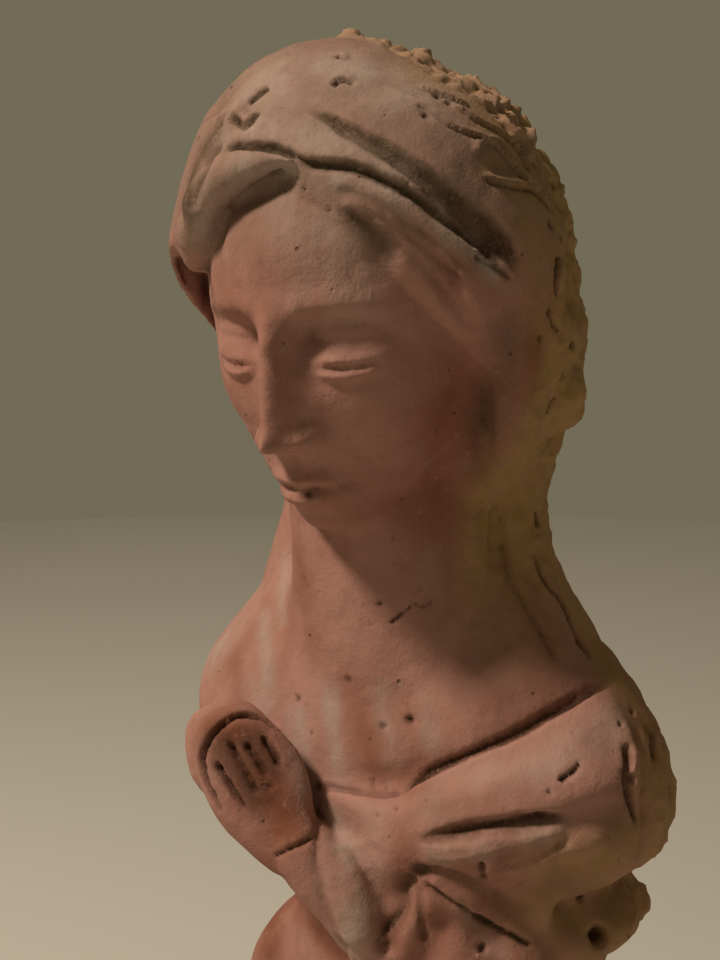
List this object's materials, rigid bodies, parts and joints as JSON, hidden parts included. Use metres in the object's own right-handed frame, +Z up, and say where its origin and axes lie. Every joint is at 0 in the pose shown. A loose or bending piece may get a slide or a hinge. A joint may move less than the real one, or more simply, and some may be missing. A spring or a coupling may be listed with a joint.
{
  "type": "virgin mary statuette",
  "caption": "Small unglazed terracotta figure of a veiled praying woman, head bowed and turned, standing on its low oval base.",
  "frame": {"origin": "centre of the base's flat underside", "axes": "+Z up, the figure faces -Y and its left side is +X"},
  "size_m": [0.09, 0.076, 0.2762],
  "materials": {
    "terracotta": "matte hand-modelled fired terracotta, dusty pink-brown, rougher and more ochre on the crown and back"
  },
  "bodies": {
    "root": {"praying_figure": "terracotta"}
  },
  "joints": []
}
